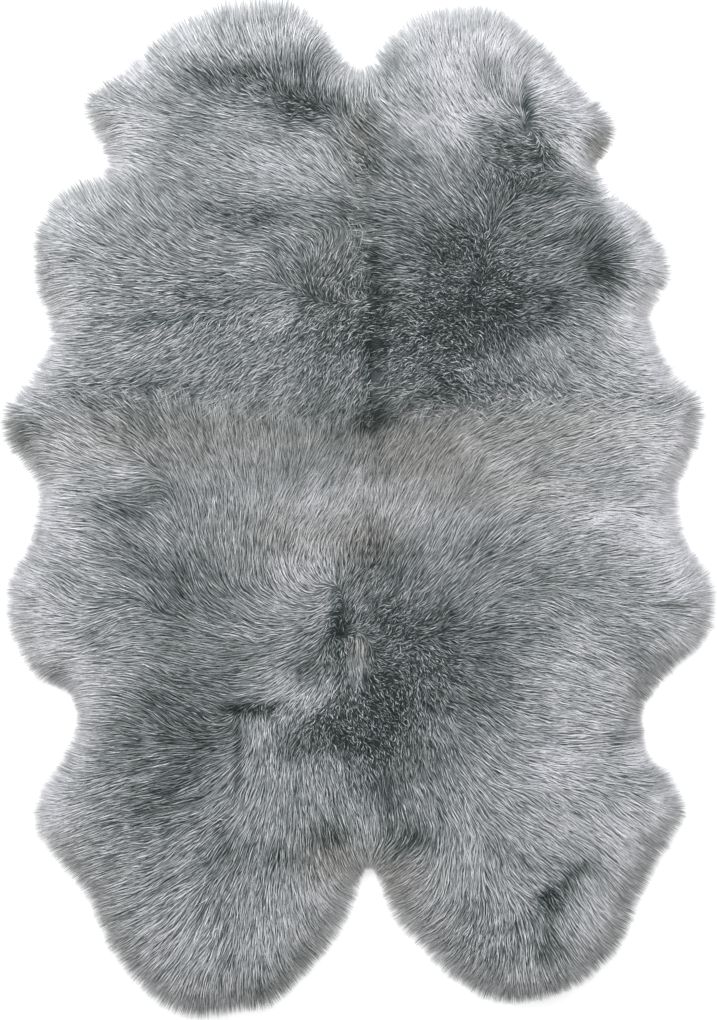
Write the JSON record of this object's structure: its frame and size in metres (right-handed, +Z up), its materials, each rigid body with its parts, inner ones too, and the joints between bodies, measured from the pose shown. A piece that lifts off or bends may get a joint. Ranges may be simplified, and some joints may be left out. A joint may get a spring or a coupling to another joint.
{
  "type": "sheepskin rug",
  "caption": "Long-pile sheepskin rug of pelts sewn edge to edge, lying flat with a wavy outline of legs and necks.",
  "frame": {"origin": "on the floor, under the middle of the rug's length and width", "axes": "+Y along the rug's length towards the upper necks, +X across it, +Z up out of the wool"},
  "size_m": [1.262, 1.8, 0.0605],
  "materials": {
    "wool": "long soft blue-grey wool",
    "hide": "napped suede"
  },
  "bodies": {
    "root": {"pelt_upper_left": "wool", "pelt_lower_left": "wool", "pelt_lower_right": "wool", "pelt_upper_right": "wool"}
  },
  "joints": []
}
